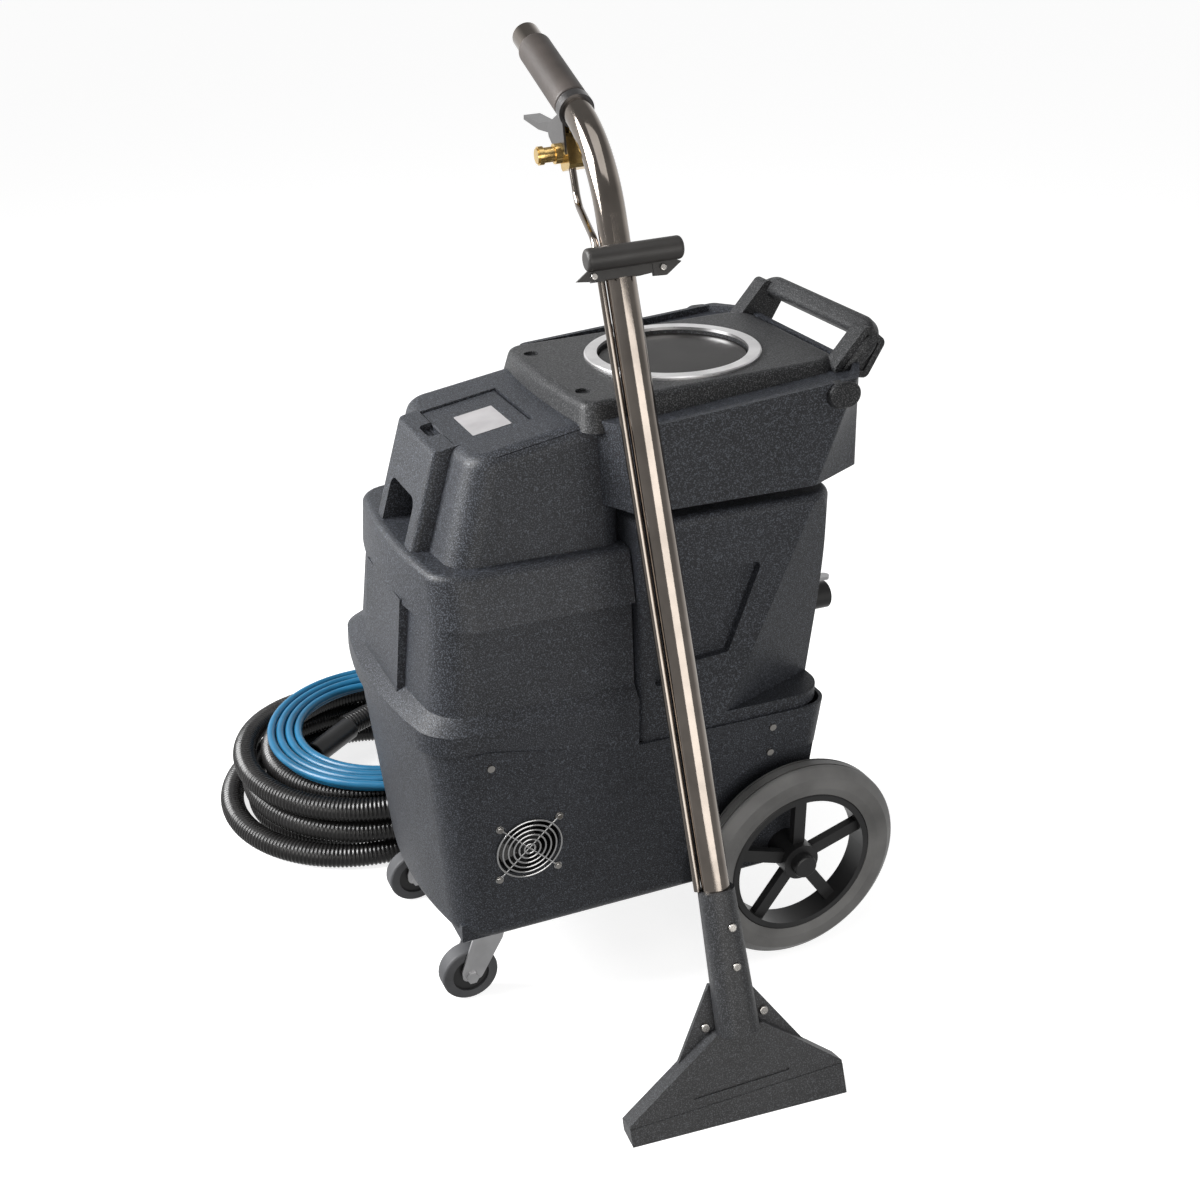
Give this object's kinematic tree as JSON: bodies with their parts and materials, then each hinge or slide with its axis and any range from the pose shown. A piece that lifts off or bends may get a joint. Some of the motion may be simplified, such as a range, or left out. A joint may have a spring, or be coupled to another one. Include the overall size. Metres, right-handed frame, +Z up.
{
  "type": "carpet cleaner machine",
  "caption": "Portable carpet extractor: stacked tank body on rear wheels and casters, with a leaning floor wand and coiled vacuum and solution hoses.",
  "frame": {"origin": "on the floor, in the middle of the footprint of machine and wand, hoses left out", "axes": "+X to the rear wheels, -X to the casters, -Y to the side with the fan guard and the wand, +Z up"},
  "size_m": [0.8506, 1.1774, 1.2488],
  "materials": {
    "body_plastic": "fine texture with a light speckle",
    "deck_plastic": "fine texture",
    "black_plastic": "satin",
    "collar_metal": "satin",
    "smoked_lid": "gloss",
    "gasket_rubber": "matt",
    "label": "matt",
    "steel": "satin",
    "zinc": "zinc plated",
    "tyre_rubber": "matt",
    "caster_rubber": "matt",
    "guard_wire": "bright",
    "motor_metal": "satin",
    "float_plastic": "matt",
    "switch_plastic": "satin",
    "brass": "bright",
    "stainless": "polished",
    "grip_rubber": "satin",
    "hose_black": "satin",
    "hose_blue": "satin"
  },
  "bodies": {
    "machine": {"base_housing": "body_plastic", "recovery_tank": "body_plastic", "solution_tank": "body_plastic", "top_deck": "deck_plastic", "lid_collar": "collar_metal", "lid_gasket": "gasket_rubber", "transport_handle": "deck_plastic", "handle_bosses": "black_plastic", "axle": "steel", "near_axle_cap": "black_plastic", "far_axle_cap": "black_plastic", "near_caster_plate": "zinc", "far_caster_plate": "zinc", "fan_frame": "black_plastic", "fan_guard": "guard_wire", "guard_screws": "steel", "housing_screws": "steel", "front_vacuum_motor": "motor_metal", "rear_vacuum_motor": "motor_metal", "solution_pump": "motor_metal", "float_cage": "float_plastic", "control_panel": "black_plastic", "power_inlets": "black_plastic", "vacuum_inlet": "black_plastic", "solution_coupler": "brass", "drain_valve": "black_plastic"},
    "tank_cover": {"tank_lid": "smoked_lid"},
    "fill_cover": {"fill_lid": "body_plastic", "lid_label": "label"},
    "near_wheel": {"near_tyre": "tyre_rubber", "near_hub": "black_plastic"},
    "far_wheel": {"far_tyre": "tyre_rubber", "far_hub": "black_plastic"},
    "near_swivel": {"near_caster_fork": "zinc"},
    "far_swivel": {"far_caster_fork": "zinc"},
    "near_roller": {"near_caster_core": "black_plastic", "near_caster_tread": "caster_rubber"},
    "far_roller": {"far_caster_core": "black_plastic", "far_caster_tread": "caster_rubber"},
    "fan": {"fan_rotor": "black_plastic"},
    "switch_one": {"near_switch": "switch_plastic"},
    "switch_two": {"middle_switch": "switch_plastic"},
    "switch_three": {"far_switch": "switch_plastic"},
    "drain_lever": {"drain_handle": "zinc"},
    "float": {"float_ball": "float_plastic"},
    "wand": {"wand_tube": "stainless", "wand_grip": "grip_rubber", "wand_head": "black_plastic", "head_bolts": "steel", "spray_jets": "brass", "spray_tube": "stainless", "valve_body": "brass", "valve_bracket": "steel", "clamp_handle": "black_plastic", "clamp_screws": "steel"},
    "trigger": {"trigger": "steel"},
    "hose_set": {"vacuum_hose": "hose_black", "vacuum_cuffs": "black_plastic", "solution_hose": "hose_blue", "hose_fittings": "steel"}
  },
  "joints": [
    {"name": "near_wheel_spin", "type": "hinge", "parent": "machine", "child": "near_wheel", "pos_m": [0.19481, -0.07772, 0.1524], "axis": [0, 1, 0], "continuous": true},
    {"name": "near_caster_swivel", "type": "hinge", "parent": "machine", "child": "near_swivel", "pos_m": [-0.24119, 0.00828, 0.118], "axis": [0, 0, 1], "continuous": true},
    {"name": "near_caster_spin", "type": "hinge", "parent": "near_swivel", "child": "near_roller", "pos_m": [-0.27119, 0.00828, 0.04], "axis": [0, 1, 0], "continuous": true},
    {"name": "far_wheel_spin", "type": "hinge", "parent": "machine", "child": "far_wheel", "pos_m": [0.19481, 0.34228, 0.1524], "axis": [0, 1, 0], "continuous": true},
    {"name": "far_caster_swivel", "type": "hinge", "parent": "machine", "child": "far_swivel", "pos_m": [-0.24119, 0.25628, 0.118], "axis": [0, 0, 1], "continuous": true},
    {"name": "far_caster_spin", "type": "hinge", "parent": "far_swivel", "child": "far_roller", "pos_m": [-0.27119, 0.25628, 0.04], "axis": [0, 1, 0], "continuous": true},
    {"name": "fan_spin", "type": "hinge", "parent": "machine", "child": "fan", "pos_m": [-0.20219, -0.05862, 0.267], "axis": [0, -0.9963, -0.0862], "continuous": true},
    {"name": "tank_lid_lift", "type": "slide", "parent": "machine", "child": "tank_cover", "axis": [-0.038, 0, 0.9993], "range_m": [0, 0.15]},
    {"name": "fill_lid_hinge", "type": "hinge", "parent": "machine", "child": "fill_cover", "pos_m": [-0.13999, 0.13228, 0.80065], "axis": [0, 1, 0], "range_deg": [0, 95]},
    {"name": "switch_one_rock", "type": "hinge", "parent": "machine", "child": "switch_one", "pos_m": [0.23981, 0.08628, 0.63], "axis": [0, 1, 0], "range_deg": [-8, 8]},
    {"name": "switch_two_rock", "type": "hinge", "parent": "machine", "child": "switch_two", "pos_m": [0.23981, 0.13228, 0.63], "axis": [0, 1, 0], "range_deg": [-8, 8]},
    {"name": "switch_three_rock", "type": "hinge", "parent": "machine", "child": "switch_three", "pos_m": [0.23981, 0.17828, 0.63], "axis": [0, 1, 0], "range_deg": [-8, 8]},
    {"name": "drain_turn", "type": "hinge", "parent": "machine", "child": "drain_lever", "pos_m": [0.26681, 0.13228, 0.444], "axis": [0, 0, 1], "range_deg": [0, 90]},
    {"name": "float_rise", "type": "slide", "parent": "machine", "child": "float", "axis": [0, 0, 1], "range_m": [0, 0.03]},
    {"name": "wand_away", "type": "slide", "parent": "machine", "child": "wand", "axis": [0, -1, 0], "range_m": [0, 0.3]},
    {"name": "trigger_squeeze", "type": "hinge", "parent": "wand", "child": "trigger", "pos_m": [-0.05745, 0.1496, 1.1399], "axis": [0.9963, -0.0627, 0.059], "range_deg": [0, 9], "stiffness_Nm_per_rad": 0.8, "springref_deg": -11.46},
    {"name": "hoses_away", "type": "slide", "parent": "machine", "child": "hose_set", "axis": [0, 1, 0], "range_m": [0, 0.3]}
  ]
}
